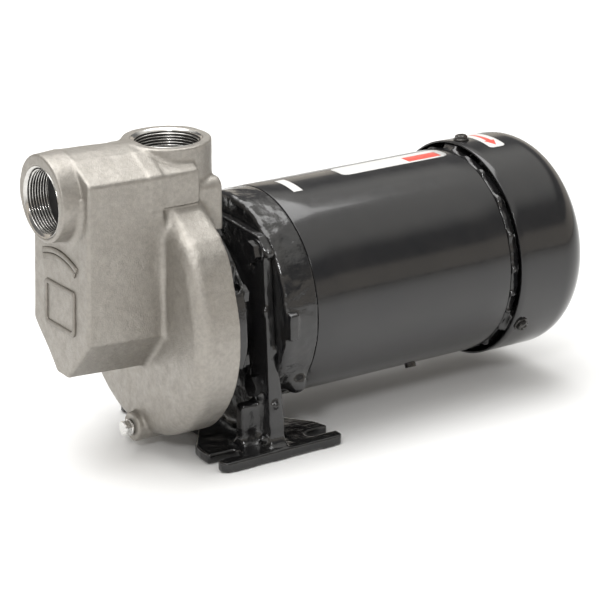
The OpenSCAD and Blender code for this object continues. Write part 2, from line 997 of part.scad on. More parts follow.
module conduit_box() {
    color(black)
        difference() {
            translate([box_x - box_w / 2, motor_r - 8, shaft_h - box_h / 2])
                cube([box_w, box_y1 - motor_r + 8, box_h]);
            translate([box_x - box_w / 2 + 3, motor_r - 20, shaft_h - box_h / 2 + 3])
                cube([box_w - 6, box_y1 - motor_r + 21, box_h - 6]);
            rod_x(0, shell_x1, motor_r);
            // conduit entry in the underside
            translate([box_x, box_y1 - 15, shaft_h - box_h / 2 - 1])
                cylinder(h = 6, r = 11.1);
        }
    color(black)
        for (sx = [-1, 1])
            for (sz = [-1, 1])
                translate([box_x + sx * (box_w / 2 - 6), box_y1, shaft_h + sz * (box_h / 2 - 6)])
                    rotate([90, 0, 0])
                        difference() {
                            translate([0, 0, 6])
                                cube([7, 7, 12], center = true);
                            translate([0, 0, -1])
                                cylinder(h = 10, r = 2, $fn = 32);
                        }
}

module conduit_gasket() {
    color(rubber)
        difference() {
            translate([box_x - box_w / 2, box_y1, shaft_h - box_h / 2])
                cube([box_w, 1, box_h]);
            translate([box_x - box_w / 2 + 11, box_y1 - 1, shaft_h - box_h / 2 + 11])
                cube([box_w - 22, 3, box_h - 22]);
            for (sx = [-1, 1])
                for (sz = [-1, 1])
                    translate([box_x + sx * (box_w / 2 - 6), box_y1 - 1, shaft_h + sz * (box_h / 2 - 6)])
                        rotate([-90, 0, 0])
                            cylinder(h = 4, r = 2.4, $fn = 32);
        }
}

module conduit_cover() {
    color(black)
        difference() {
            translate([box_x - box_w / 2, box_y1 + 1, shaft_h - box_h / 2])
                cube([box_w, 2, box_h]);
            for (sx = [-1, 1])
                for (sz = [-1, 1])
                    translate([box_x + sx * (box_w / 2 - 6), box_y1, shaft_h + sz * (box_h / 2 - 6)])
                        rotate([-90, 0, 0])
                            cylinder(h = 5, r = 2.4, $fn = 32);
        }
}

module conduit_screws() {
    color(bright)
        for (sx = [-1, 1])
            for (sz = [-1, 1])
                translate([box_x + sx * (box_w / 2 - 6), box_y1 + 3, shaft_h + sz * (box_h / 2 - 6)])
                    union() {
                        translate([0, 1, 0])
                            rotate([90, 0, 0])
                                cylinder(h = 11, r = 2, $fn = 32);
                        rotate([-90, 0, 0])
                            cylinder(h = 2, r = 3.8, $fn = 32);
                    }
}

// thin label bent round a cylinder of radius r, from angle a0 to a1 measured from straight up toward +Y
module bent_label(x0, x1, r, a0, a1) {
    along_x(x0)
        rotate(180 - a1)
            rotate_extrude(angle = a1 - a0)
                translate([r, 0])
                    square([label_t, x1 - x0]);
}

module strip_label() {
    color(white)
        bent_label(shell_x0 + 20, shell_x0 + 28, motor_r, -13, 6);
}

module long_label() {
    color(white)
        bent_label(shell_x0 + 72, shell_x1 - 8, motor_r, -6, 9);
}

module arrow_label() {
    color(white)
        bent_label(shroud_x0 + 19, shroud_x0 + 34, shroud_r, -13, 15);
}

casing();
suction_flap();
flap_hinge_pin();
ejector_nozzle();
ejector_venturi();
wear_ring();
impeller();
seal_spring();
seal_head();
seal_seat();
seal_cup();
casing_gasket();
drain_plug();
casing_bolts();
bracket();
motor_bolts();
slinger();
shaft();
rotor_core();
stator_core();
stator_windings();
front_bell();
front_shaft_seal();
motor_shell();
rear_bell();
front_outer_race();
front_inner_race();
front_balls();
front_cage();
rear_outer_race();
rear_inner_race();
rear_balls();
rear_cage();
wave_washer();
through_bolts();
fan();
fan_shroud();
shroud_screws();
conduit_box();
conduit_gasket();
conduit_cover();
conduit_screws();
shell_plug();
strip_label();
long_label();
arrow_label();
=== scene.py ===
"""Looks of the shallow well jet pump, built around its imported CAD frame. Metres, in the CAD's own frame."""
import json
import math

import bmesh
import bpy
import numpy as np
from mathutils import Matrix, Vector


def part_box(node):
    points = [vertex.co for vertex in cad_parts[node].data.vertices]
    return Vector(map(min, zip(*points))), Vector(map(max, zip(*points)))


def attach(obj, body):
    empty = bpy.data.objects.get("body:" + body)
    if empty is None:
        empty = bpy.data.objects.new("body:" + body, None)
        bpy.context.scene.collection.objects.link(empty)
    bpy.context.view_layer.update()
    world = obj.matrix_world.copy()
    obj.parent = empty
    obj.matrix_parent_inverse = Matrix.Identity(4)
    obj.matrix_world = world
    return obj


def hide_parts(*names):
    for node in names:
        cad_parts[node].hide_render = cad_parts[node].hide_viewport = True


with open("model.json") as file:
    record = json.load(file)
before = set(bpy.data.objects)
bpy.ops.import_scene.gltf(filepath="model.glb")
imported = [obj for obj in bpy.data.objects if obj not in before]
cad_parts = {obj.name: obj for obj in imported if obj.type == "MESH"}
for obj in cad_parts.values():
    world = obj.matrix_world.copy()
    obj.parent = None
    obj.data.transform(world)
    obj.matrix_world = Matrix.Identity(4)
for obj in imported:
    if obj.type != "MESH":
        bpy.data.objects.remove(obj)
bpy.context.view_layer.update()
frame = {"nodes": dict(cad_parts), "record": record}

MM = 0.001
TAU = 2 * math.pi


# ---------------------------------------------------------------- places read from the frame
def span(node, axis):
    """Lowest and highest coordinate of a CAD node along axis 0, 1 or 2, in millimetres."""
    lo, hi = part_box(node)
    return lo[axis] / MM, hi[axis] / MM


def middle(node, axis):
    lo, hi = span(node, axis)
    return (lo + hi) / 2


mounts = {m["name"]: m for m in frame["record"]["mounts"]}
SHAFT_Z = middle("shaft", 2)
SUCTION_X = span("casing", 0)[0]
SUCTION_Z = mounts["suction_port"]["pos_m"][2] / MM
DISCHARGE_X = mounts["discharge_port"]["pos_m"][0] / MM
DISCHARGE_Z = mounts["discharge_port"]["pos_m"][2] / MM + mounts["discharge_port"]["dims"]["length_mm"] / 2 + 2.5
PORT_R = mounts["suction_port"]["dims"]["r_mm"]
RING_X0, RING_X1 = span("casing_gasket", 0)[0], span("casing_gasket", 0)[1] + 16.2
RING_R = (span("casing_gasket", 1)[1] - span("casing_gasket", 1)[0]) / 2
DRUM_R = (span("casing", 1)[1] - span("casing", 1)[0]) / 2
DRUM_X1 = RING_X0
NECK_X1 = RING_X1 + 4.5
DRUM_X0 = DRUM_X1 - 33.0
CHEST_X0 = SUCTION_X + 13.5
FOOT_L = 106.0
FOOT_W = span("bracket", 1)[1] - span("bracket", 1)[0]
SHELL_X0, SHELL_X1 = span("motor_shell", 0)
MOTOR_R = (span("motor_shell", 2)[1] - span("motor_shell", 2)[0]) / 2
SHROUD_X0, SHROUD_X1 = span("fan_shroud", 0)
SHROUD_R = (span("fan_shroud", 2)[1] - span("fan_shroud", 2)[0]) / 2


# ---------------------------------------------------------------- solid shapes as distance fields
class Field:
    """A box of sample points, in millimetres, with distances to shapes that are joined, cut and rounded."""

    def __init__(self, lo, hi, step):
        self.step = step
        self.lo = np.array(lo, np.float32)
        axes = [np.arange(a, b + step, step, dtype=np.float32) for a, b in zip(lo, hi)]
        self.x, self.y, self.z = np.meshgrid(*axes, indexing="ij", sparse=True)
        self.shape = tuple(len(a) for a in axes)

    def noise(self, size, seed):
        """Smooth random field of about unit height whose lumps are size millimetres across."""
        rng = np.random.default_rng(seed)
        n = [max(4, int(s * self.step / size) + 4) for s in self.shape]
        out = rng.standard_normal(n).astype(np.float32)
        for axis, full in enumerate(self.shape):
            t = np.arange(full, dtype=np.float32) * (self.step / size)
            i = t.astype(int)
            f = t - i
            w = [(1 - f) ** 3 / 6, (3 * f**3 - 6 * f**2 + 4) / 6,
                 (-3 * f**3 + 3 * f**2 + 3 * f + 1) / 6, f**3 / 6]
            shape = [1, 1, 1]
            shape[axis] = full
            out = sum(np.take(out, i + k, axis) * w[k].reshape(shape).astype(np.float32) for k in range(4))
        return out * 1.6


def length2(a, b):
    return np.sqrt(a * a + b * b)


def box(f, lo, hi, r=0.0):
    """Box between two corners with its edges rounded by r."""
    q = [np.abs(v - (a + b) / 2) - ((b - a) / 2 - r) for v, a, b in zip((f.x, f.y, f.z), lo, hi)]
    outside = np.sqrt(sum(np.maximum(v, 0) ** 2 for v in q))
    return outside + np.minimum(np.maximum(np.maximum(q[0], q[1]), q[2]), 0) - r


def slab(v, a, b):
    return np.abs(v - (a + b) / 2) - (b - a) / 2


def meet(d2, dz, r=0.0):
    """Extrusion of the outline distance d2 through the slab distance dz, its rims rounded by r."""
    a, b = d2 + r, dz + r
    return np.minimum(np.maximum(a, b), 0) + length2(np.maximum(a, 0), np.maximum(b, 0)) - r


def rod_x(f, x0, x1, radius, r=0.0, y=0.0, z=None):
    z = SHAFT_Z if z is None else z
    return meet(length2(f.y - y, f.z - z) - radius, slab(f.x, x0, x1), r)


def rod_z(f, x, y, z0, z1, radius, r=0.0):
    return meet(length2(f.x - x, f.y - y) - radius, slab(f.z, z0, z1), r)


def join(a, b, k=0.0):
    """Union with a fillet of about k, which may vary from place to place."""
    if np.ndim(k) == 0 and k <= 0:
        return np.minimum(a, b)
    h = np.maximum(k - np.abs(a - b), 0) / k
    return np.minimum(a, b) - h * h * k / 4


def cut(a, b, k=0.0):
    """a without b, its new edge rounded by about k."""
    return -join(-a, b, k)


def polygon(u, v, points):
    """Distance to a closed outline in the u, v plane, negative inside."""
    best = None
    inside = np.zeros(np.broadcast(u, v).shape, bool)
    for (ax, ay), (bx, by) in zip(points, points[1:] + points[:1]):
        ex, ey = bx - ax, by - ay
        t = np.clip(((u - ax) * ex + (v - ay) * ey) / (ex * ex + ey * ey), 0, 1)
        d = length2(u - ax - ex * t, v - ay - ey * t)
        best = d if best is None else np.minimum(best, d)
        if ay != by:
            cross = (v > min(ay, by)) & (v <= max(ay, by)) & (u < ax + (v - ay) * ex / ey)
            inside ^= cross
    return np.where(inside, -best, best)


def surface(field, d, name):
    """Mesh of the zero level of d: one vertex in each cell that the level crosses, joined in quads."""
    neg = d < 0
    cells = tuple(s - 1 for s in d.shape)
    corners = [(i, j, k) for i in (0, 1) for j in (0, 1) for k in (0, 1)]

    def part(a, c):
        return a[c[0]:c[0] + cells[0], c[1]:c[1] + cells[1], c[2]:c[2] + cells[2]]

    count = sum(part(neg, c).astype(np.int8) for c in corners)
    active = (count > 0) & (count < 8)
    idx = np.argwhere(active)
    number = -np.ones(cells, np.int32)
    number[active] = np.arange(len(idx))
    total = np.zeros((len(idx), 3))
    hits = np.zeros(len(idx))
    for a in corners:
        for axis in range(3):
            if a[axis]:
                continue
            b = list(a)
            b[axis] = 1
            va = d[tuple((idx + a).T)]
            vb = d[tuple((idx + b).T)]
            crossed = (va < 0) != (vb < 0)
            t = np.where(crossed, va / np.where(crossed, va - vb, 1), 0)
            p = np.tile(np.array(a, float), (len(idx), 1))
            p[:, axis] = t
            total[crossed] += p[crossed]
            hits[crossed] += 1
    verts = (idx + total / hits[:, None]) * field.step + field.lo
    quads = []
    for axis in range(3):
        u, w = (axis + 1) % 3, (axis + 2) % 3
        a = [slice(None)] * 3
        b = [slice(None)] * 3
        a[axis], b[axis] = slice(0, -1), slice(1, None)
        change = neg[tuple(a)] != neg[tuple(b)]
        for o in (u, w):
            trim = [slice(None)] * 3
            trim[o] = slice(1, -1)
            keep = np.zeros_like(change)
            keep[tuple(trim)] = True
            change &= keep
        e = np.argwhere(change)
        inner = neg[tuple(a)][tuple(e.T)]
        du, dw = np.zeros(3, int), np.zeros(3, int)
        du[u], dw[w] = 1, 1
        q = np.stack([number[tuple((e - du - dw).T)], number[tuple((e - dw).T)],
                      number[tuple(e.T)], number[tuple((e - du).T)]], 1)
        quads.append(np.where(inner[:, None], q, q[:, ::-1]))
    quads = np.concatenate(quads)
    return mesh_object(name, verts, quads)


def mesh_object(name, verts, faces, smooth=True):
    """New object from points in millimetres."""
    me = bpy.data.meshes.new(name)
    verts = np.asarray(verts, np.float64) * MM
    faces = np.asarray(faces)
    if faces.dtype == object or faces.ndim == 1:
        me.from_pydata(verts.tolist(), [], [list(map(int, f)) for f in faces])
    else:
        me.vertices.add(len(verts))
        me.vertices.foreach_set("co", verts.astype(np.float32).ravel())
        n = faces.shape[1]
        me.loops.add(faces.size)
        me.loops.foreach_set("vertex_index", faces.astype(np.int32).ravel())
        me.polygons.add(len(faces))
        me.polygons.foreach_set("loop_start", np.arange(0, faces.size, n, dtype=np.int32))
        me.update(calc_edges=True)
    if smooth:
        me.shade_smooth()
    ob = bpy.data.objects.new(name, me)
    bpy.context.scene.collection.objects.link(ob)
    return ob


# ---------------------------------------------------------------- materials
def material(name, colour, rough, metal=0.0, bumps=(), mottle=None, rough_var=0.0, coat=0.0,
             crease_dark=None, spec=0.5):
    """Principled material in object space. bumps are (size mm, height mm, detail); mottle is (colour, size mm, amount)."""
    m = bpy.data.materials.new(name)
    m.use_nodes = True
    t = m.node_tree
    t.nodes.clear()
    new = t.nodes.new
    link = t.links.new
    out = new("ShaderNodeOutputMaterial")
    bsdf = new("ShaderNodeBsdfPrincipled")
    link(bsdf.outputs[0], out.inputs[0])
    bsdf.inputs["Metallic"].default_value = metal
    bsdf.inputs["Roughness"].default_value = rough
    bsdf.inputs["Specular IOR Level"].default_value = spec
    bsdf.inputs["Coat Weight"].default_value = coat
    bsdf.inputs["Coat Roughness"].default_value = 0.06
    pos = new("ShaderNodeTexCoord").outputs["Object"]

    def noise(size_mm, detail=3.0, rough_n=0.5):
        n = new("ShaderNodeTexNoise")
        n.inputs["Scale"].default_value = 1000.0 / size_mm
        n.inputs["Detail"].default_value = detail
        n.inputs["Roughness"].default_value = rough_n
        link(pos, n.inputs["Vector"])
        return n.outputs["Fac"]

    def ramp(fac, a, b, lo=0.35, hi=0.65):
        r = new("ShaderNodeMapRange")
        r.inputs["From Min"].default_value = lo
        r.inputs["From Max"].default_value = hi
        r.inputs["To Min"].default_value = a
        r.inputs["To Max"].default_value = b
        link(fac, r.inputs["Value"])
        return r.outputs["Result"]

    def mix(fac, a, b):
        x = new("ShaderNodeMix")
        x.data_type = "RGBA"
        if isinstance(fac, float):
            x.inputs["Factor"].default_value = fac
        else:
            link(fac, x.inputs["Factor"])
        for key, val in (("A", a), ("B", b)):
            sock = [s for s in x.inputs if s.name == key and s.type == "RGBA"][0]
            if isinstance(val, tuple):
                sock.default_value = (*val, 1)
            else:
                link(val, sock)
        return [s for s in x.outputs if s.type == "RGBA"][0]

    base = colour
    if mottle:
        base = mix(ramp(noise(mottle[1], 4.0, 0.6), 0.0, mottle[2]), base, mottle[0])
    # darker in creases: where Pointiness is low the base colour is mixed toward the given dark colour
    if crease_dark:
        geo = new("ShaderNodeNewGeometry")
        base = mix(ramp(geo.outputs["Pointiness"], crease_dark[1], 0.0, 0.42, 0.5), base, crease_dark[0])
    if isinstance(base, tuple):
        bsdf.inputs["Base Color"].default_value = (*base, 1)
    else:
        link(base, bsdf.inputs["Base Color"])
    if rough_var:
        link(ramp(noise(9.0, 4.0), rough - rough_var, rough + rough_var), bsdf.inputs["Roughness"])
    normal = None
    for size, height, detail in bumps:
        b = new("ShaderNodeBump")
        b.inputs["Strength"].default_value = 1.0
        b.inputs["Distance"].default_value = height * MM
        link(noise(size, detail), b.inputs["Height"])
        if normal:
            link(normal, b.inputs["Normal"])
        normal = b.outputs["Normal"]
    if normal:
        link(normal, bsdf.inputs["Normal"])
    return m


M = {
    # the cast stainless is darkened in its creases through the Pointiness mix
    "cast": material("cast_stainless", (0.345, 0.325, 0.295), 0.44, 0.75,
                     [(5.0, 0.22, 3.0), (1.0, 0.24, 4.0), (0.45, 0.06, 2.0)], ((0.27, 0.255, 0.235), 3.0, 0.7), 0.08,
                     crease_dark=((0.13, 0.115, 0.095), 0.5)),
    "bright": material("machined_steel", (0.80, 0.80, 0.79), 0.22, 1.0, [(0.8, 0.02, 3.0)],
                       ((0.62, 0.61, 0.58), 5.0, 0.4), 0.06),
    "thread": material("cut_thread", (0.60, 0.59, 0.57), 0.17, 1.0, [(0.7, 0.01, 2.0)], ((0.42, 0.41, 0.39), 3.0, 0.5),
                       0.05),
    # painted shade: dark material for the thread roots, standing in for the dark reflection bands of the thread
    "thread_root_painted_shade": material("thread_root_painted_shade", (0.10, 0.10, 0.098), 0.34, 0.8, [(0.7, 0.01, 2.0)], ((0.16, 0.15, 0.14), 2.0, 0.5),
                            0.06),
    "enamel": material("black_enamel", (0.010, 0.010, 0.011), 0.17, 0.0, [(22.0, 0.12, 2.0), (2.6, 0.012, 2.0)],
                       ((0.016, 0.015, 0.015), 30.0, 0.6), 0.04, 0.25),
    "rough_enamel": material("black_enamel_on_casting", (0.009, 0.009, 0.010), 0.15, 0.0,
                             [(5.0, 0.30, 2.0), (2.2, 0.22, 3.0)], ((0.016, 0.015, 0.014), 18.0, 0.6), 0.05, 0.3),
    "dark_screw": material("black_zinc", (0.05, 0.05, 0.05), 0.28, 0.9, [(1.0, 0.03, 2.0)],
                           ((0.12, 0.11, 0.10), 3.0, 0.5), 0.08),
    "rubber": material("rubber", (0.02, 0.02, 0.02), 0.7, 0.0, [(0.8, 0.03, 3.0)], ((0.035, 0.035, 0.035), 6.0, 0.5), 0.08),
    "brass": material("brass", (0.68, 0.50, 0.24), 0.28, 1.0, [(0.9, 0.02, 3.0)], ((0.50, 0.36, 0.16), 6.0, 0.5), 0.08),
    "iron": material("lamination", (0.34, 0.34, 0.36), 0.42, 0.9, [(0.6, 0.04, 2.0)], ((0.20, 0.19, 0.18), 8.0, 0.5), 0.08),
    "copper": material("varnished_copper", (0.48, 0.19, 0.07), 0.35, 0.8, [(1.4, 0.25, 1.0)], ((0.30, 0.10, 0.04), 5.0, 0.6), 0.08, 0.4),
    "ceramic": material("ceramic", (0.86, 0.85, 0.80), 0.25, 0.0, [(0.5, 0.01, 2.0)], ((0.78, 0.77, 0.72), 7.0, 0.4), 0.05),
    "plastic": material("black_plastic", (0.022, 0.022, 0.023), 0.42, 0.0, [(0.7, 0.03, 3.0)], ((0.035, 0.035, 0.035), 12.0, 0.5), 0.06),
    "label": material("label_film", (0.66, 0.66, 0.65), 0.38, 0.0, [(8.0, 0.03, 2.0)], ((0.55, 0.55, 0.54), 9.0, 0.4), 0.06, 0.2),
    "red": material("label_red", (0.62, 0.05, 0.03), 0.38, 0.0, [(1.2, 0.01, 2.0)], ((0.74, 0.20, 0.16), 2.0, 0.35), 0.05, 0.2),
    "grey": material("label_print", (0.10, 0.10, 0.10), 0.45, 0.0, [(1.0, 0.01, 2.0)], ((0.24, 0.24, 0.24), 1.6, 0.5), 0.05),
}


def finish_piece(ob, mat, body="pump_body", replaces=()):
    """Gives a piece its material, its body and the CAD nodes it stands for."""
    ob.data.materials.clear()
    ob.data.materials.append(M[mat])
    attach(ob, body)
    if replaces:
        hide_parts(*replaces)
    return ob


# ---------------------------------------------------------------- lathe and bent sheets
def lathe_x(name, profile, segments=160, z=None, y=0.0):
    """Surface of revolution about the X axis at the shaft. profile is a closed list of (x, r)."""
    z = SHAFT_Z if z is None else z
    n = len(profile)
    a = np.arange(segments) * TAU / segments
    pr = np.array(profile, float)
    verts = np.stack([np.repeat(pr[None, :, 0], segments, 0),
                      y + pr[None, :, 1] * np.sin(a)[:, None],
                      z + pr[None, :, 1] * np.cos(a)[:, None]], -1).reshape(-1, 3)
    faces = []
    for s in range(segments):
        t = (s + 1) % segments
        for k in range(n):
            j = (k + 1) % n
            faces.append((s * n + k, t * n + k, t * n + j, s * n + j))
    return mesh_object(name, verts, np.array(faces))


def arc(cx, cr, rad, a0, a1, n):
    """Points of an arc in the (x, r) plane, angles in degrees from +x."""
    return [(cx + rad * math.cos(math.radians(a0 + (a1 - a0) * i / n)),
             cr + rad * math.sin(math.radians(a0 + (a1 - a0) * i / n))) for i in range(n + 1)]


# ---------------------------------------------------------------- stainless casing
def inset(points, r):
    """Convex outline with every side moved inward by r, points given anticlockwise."""
    out = []
    n = len(points)
    for i in range(n):
        (ax, ay), (bx, by), (cx, cy) = points[i - 1], points[i], points[(i + 1) % n]
        ux, uy = bx - ax, by - ay
        wx, wy = cx - bx, cy - by
        lu, lw = math.hypot(ux, uy), math.hypot(wx, wy)
        n1 = (-uy / lu, ux / lu)
        n2 = (-wy / lw, wx / lw)
        k = r / (1 + n1[0] * n2[0] + n1[1] * n2[1])
        out.append((bx + (n1[0] + n2[0]) * k, by + (n1[1] + n2[1]) * k))
    return out


def rounded(u, v, points, r):
    """Distance to a convex outline whose corners are rounded by r."""
    return polygon(u, v, inset(points, r)) - r


CROWN_Z = SUCTION_Z + 1.0
CROWN_R = 34.5
CHEST_W = 40.5
RIDGE = 119.5
# the roof leaves the ridge and lies tangent to the crown
to_ridge = math.hypot(CHEST_W, RIDGE + SHAFT_Z - CROWN_Z)
touch = math.acos(CROWN_R / to_ridge) + math.atan2(RIDGE + SHAFT_Z - CROWN_Z, CHEST_W)
ROOF_Y, ROOF_Z = CROWN_R * math.cos(touch), CROWN_Z - SHAFT_Z + CROWN_R * math.sin(touch) - 0.4
NECK_W = 35.0
NECK_TOP = DISCHARGE_Z - 26
OVER = 94
DRAIN_Z = middle("drain_plug", 2)
BOSS_UP = 2.5


def casing_shape(step):
    f = Field((SUCTION_X - 4, -DRUM_R - 5, 6), (DISCHARGE_X + 37, DRUM_R + 5, DISCHARGE_Z + 7), step)
    x, y, z = f.x, f.y, f.z
    rel = z - SHAFT_Z
    along = (x - CHEST_X0) / (DRUM_X0 - CHEST_X0)
    front = front_x(rel)

    # inlet chest: leaning front, vertical sides, floor in a shallow V, roof sloping up to the crown
    low = rel + np.clip(along, 0, 1) * (3 * np.clip((60 - rel) / 60, 0, 1) + 1.5 * np.clip((rel - 60) / 50, 0, 1))
    outline = [(-10, -32), (6, -32), (CHEST_W, 1), (CHEST_W, RIDGE), (ROOF_Y, ROOF_Z), (-ROOF_Y, ROOF_Z),
               (-CHEST_W, RIDGE), (-CHEST_W, 1)]
    chest2 = rounded(y, low, outline, 4.0)
    chest = meet(chest2, np.maximum(front - x, x - DRUM_X0 - 1.5), 2.2)

    # crown over the inlet passage, falling a little toward the discharge
    crown_z = CROWN_Z - 2.6 * np.clip(along, 0, 1.3)
    crown2 = length2(y, z - crown_z) - CROWN_R
    crown = meet(crown2, np.maximum(front - x, x - DISCHARGE_X), 2.0)
    boss = meet(length2(y, z - SUCTION_Z - BOSS_UP) - 32.0 - 0.06 * (x - SUCTION_X), slab(x, SUCTION_X, CHEST_X0 + 6), 1.2)

    # volute drum and the neck that rises from it
    turn = np.degrees(np.arctan2(np.abs(y), rel))
    swell = 6.5 * np.exp(-((turn - 47) / 14) ** 2)
    drum = meet(length2(y, rel) - DRUM_R - swell, slab(x, DRUM_X0, DRUM_X1 + 14), 12.0)
    drum = np.maximum(drum, x - DRUM_X1)
    neck_out = [(-NECK_W, 40), (NECK_W, 40), (NECK_W, NECK_TOP - SHAFT_Z), (-NECK_W, NECK_TOP - SHAFT_Z)]
    neck2 = rounded(y, rel, neck_out, 8.0)
    outside_ring = RING_R + 0.6 - length2(y, rel)
    neck = meet(neck2, slab(x, DRUM_X0 + 2, DRUM_X1), 2.0)
    hang = meet(np.maximum(neck2, outside_ring), slab(x, DRUM_X1 - 8, NECK_X1), 2.5)
    over = meet(np.maximum(chest2 + 0.2, OVER - rel), slab(x, DRUM_X0 - 10, DRUM_X1 - 1.5), 1.5)
    outlet = rod_z(f, DISCHARGE_X, 0, NECK_TOP - 24, DISCHARGE_Z, 33.0, 1.2)

    body = join(chest, crown, 3.0)
    body = join(body, boss, np.where(z > SUCTION_Z + 8, 0.8, 4.0))
    body = join(body, drum, 5.0)
    # the rim of the drum fairs up into the neck's sides
    side_out = [(58, 40), (60, 70), (49, 79), (40, 87), (36.5, OVER - 1)]
    flare_out = side_out + [(-u, v) for u, v in side_out[::-1]]
    flare = meet(polygon(y, rel, flare_out), slab(x, DRUM_X0 + 10, DRUM_X1), 3.0)
    body = join(body, flare, 11.0)
    upper = join(join(neck, hang, 3.0), over, 2.5)
    body = join(body, upper, 3.0 + 11.0 * np.clip((92 - rel) / 12, 0, 1))
    body = np.maximum(body, x - np.where((outside_ring < 0) & (rel > 40), NECK_X1, DRUM_X1))
    body = join(body, outlet, 2.5)

    # drain boss and its rib under the drum
    drain = rod_x(f, DRUM_X0 - 6.5, DRUM_X0 + 24, 11.0, 1.5, z=DRAIN_Z)
    body = join(body, drain, 3.0)
    # cast skin: broad waviness and finer grain
    body = body + 0.22 * f.noise(16, 3) + 0.10 * f.noise(4.5, 4)

    # bores and the hollow behind the walls
    suction2 = length2(y, z - SUCTION_Z)
    hole = meet(suction2 - 25.0, slab(x, SUCTION_X - 5, CHEST_X0 + 8))
    hole = join(hole, meet(suction2 - 26.2, slab(x, SUCTION_X - 5, SUCTION_X + 2.6)))
    out2 = length2(x - DISCHARGE_X, y)
    hole = join(hole, meet(out2 - 25.0, slab(z, DISCHARGE_Z - 22, DISCHARGE_Z + 5)))
    hole = join(hole, meet(out2 - 26.2, slab(z, DISCHARGE_Z - 2.6, DISCHARGE_Z + 5)))
    hole = join(hole, meet(out2 - 22.0, slab(z, SHAFT_Z + 84, DISCHARGE_Z - 18)))
    inner2 = polygon(y, low, inset(outline, 5.0))
    inner2 = np.minimum(inner2, crown2 + 5)
    hole = join(hole, meet(inner2, np.maximum(front + 5 - x, x - DRUM_X0 + 5)))
    hole = join(hole, rod_x(f, DRUM_X0 + 4.5, DRUM_X1 - 12, 84.0))
    hole = join(hole, rod_x(f, DRUM_X0 - 8, DRUM_X0 + 8, 20.0))
    hole = join(hole, rod_x(f, DRUM_X1 - 14, DRUM_X1 + 5, 58.0))
    hole = join(hole, rod_x(f, DRUM_X0 - 20, DRUM_X0 + 2, 5.3, z=DRAIN_Z))
    return surface(f, np.maximum(body, -hole), "casing_body")


def front_x(rel):
    """Place of the leaning front face at a height above the shaft."""
    return CHEST_X0 + 2.9 - (120 - rel) * 0.031


def raised_band(name, outer, inner, height):
    """Closed band standing height off the chest's front face. outer and inner are (y, rel) rims of equal count."""
    n = len(outer)
    verts = []
    for rim, lift in ((outer, -1.0), (outer, height - 0.3), (inner, height - 0.3), (inner, -1.0)):
        grow = 0.0 if lift < 0 else 0.25
        for (y, rel), (oy, orel) in zip(rim, inner if rim is outer else outer):
            d = math.hypot(oy - y, orel - rel)
            verts.append((front_x(rel) - lift, y + (oy - y) * grow / d, SHAFT_Z + rel + (orel - rel) * grow / d))
    for rim, other in ((outer, inner), (inner, outer)):
        for (y, rel), (oy, orel) in zip(rim, other):
            d = math.hypot(oy - y, orel - rel)
            verts.append((front_x(rel) - height, y + (oy - y) * 0.6 / d, SHAFT_Z + rel + (orel - rel) * 0.6 / d))
    rows = (0, 1, 4, 5, 2, 3)
    faces = []
    for a, b in zip(rows, rows[1:] + rows[:1]):
        for k in range(n):
            j = (k + 1) % n
            faces.append((a * n + k, a * n + j, b * n + j, b * n + k))
    return mesh_object(name, verts, np.array(faces), smooth=False)


def round_rect(half_w, half_h, r, cy, cz, per=5):
    """Points round a rounded rectangle, anticlockwise."""
    pts = []
    for sy, sz, a0 in ((1, 1, 0), (-1, 1, 90), (-1, -1, 180), (1, -1, 270)):
        for k in range(per + 1):
            a = math.radians(a0 + 90 * k / per)
            pts.append((cy + sy * (half_w - r) + r * math.cos(a), cz + sz * (half_h - r) + r * math.sin(a)))
    return pts


def nameplate_border():
    return raised_band("nameplate_border", round_rect(22.5, 17.5, 4.5, 0, 20), round_rect(18.5, 13.5, 1.6, 0, 20), 1.5)


ARCH = (4.0, -1.0, 64.0, 55.0)
ARCH_FROM, ARCH_TO = 69.5, 117.3


def crescent_pad():
    """Plain raised arc over the nameplate, where a casting would carry its mark."""
    cy, cz, r_out, r_in = ARCH
    at = [math.radians(ARCH_FROM + (ARCH_TO - ARCH_FROM) * k / 24) for k in range(25)]
    outline = [(cy + r_out * math.cos(a), cz + r_out * math.sin(a)) for a in at]
    outline += [(cy + r_in * math.cos(a), cz + r_in * math.sin(a)) for a in at[::-1]]
    r_mid = (r_out + r_in) / 2
    mid = [(cy + r_mid * math.cos(a), cz + r_mid * math.sin(a)) for a in at]
    return raised_band("crescent_pad", outline, mid + mid[::-1], 1.1)


